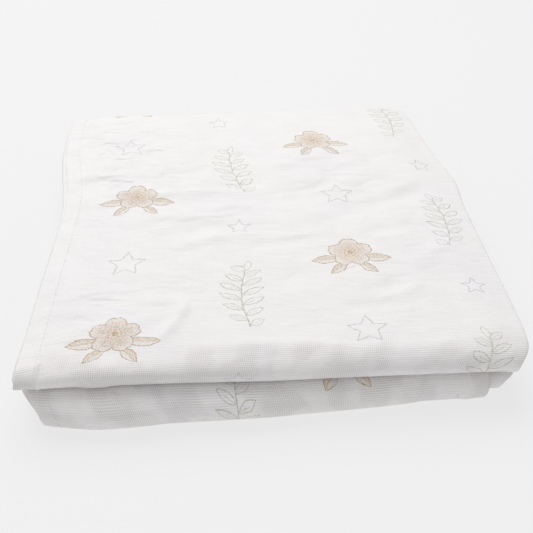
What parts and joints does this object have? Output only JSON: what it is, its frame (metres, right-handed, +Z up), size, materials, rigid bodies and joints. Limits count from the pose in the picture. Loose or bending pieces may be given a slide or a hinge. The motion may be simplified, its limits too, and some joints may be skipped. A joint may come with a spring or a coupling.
{
  "type": "folded swaddle blanket",
  "caption": "Muslin baby swaddle blanket folded into a flat square bundle, with soft rolled edges in front, a stitched hem and a light botanical and star print.",
  "frame": {"origin": "middle of the folded bundle's footprint, on the surface it rests on", "axes": "+Z up from the resting surface, -Y towards the two rolled front edges, +X towards the side with the pleat folds; the outer ply's hem is at -X"},
  "size_m": [0.3136, 0.3274, 0.046],
  "materials": {
    "muslin": "white cotton double gauze with an open weave, a soft matt surface and a pale tan, sage and lavender print",
    "thread": "off-white cotton sewing thread of the hem"
  },
  "bodies": {
    "root": {"blanket": "muslin"}
  },
  "joints": []
}
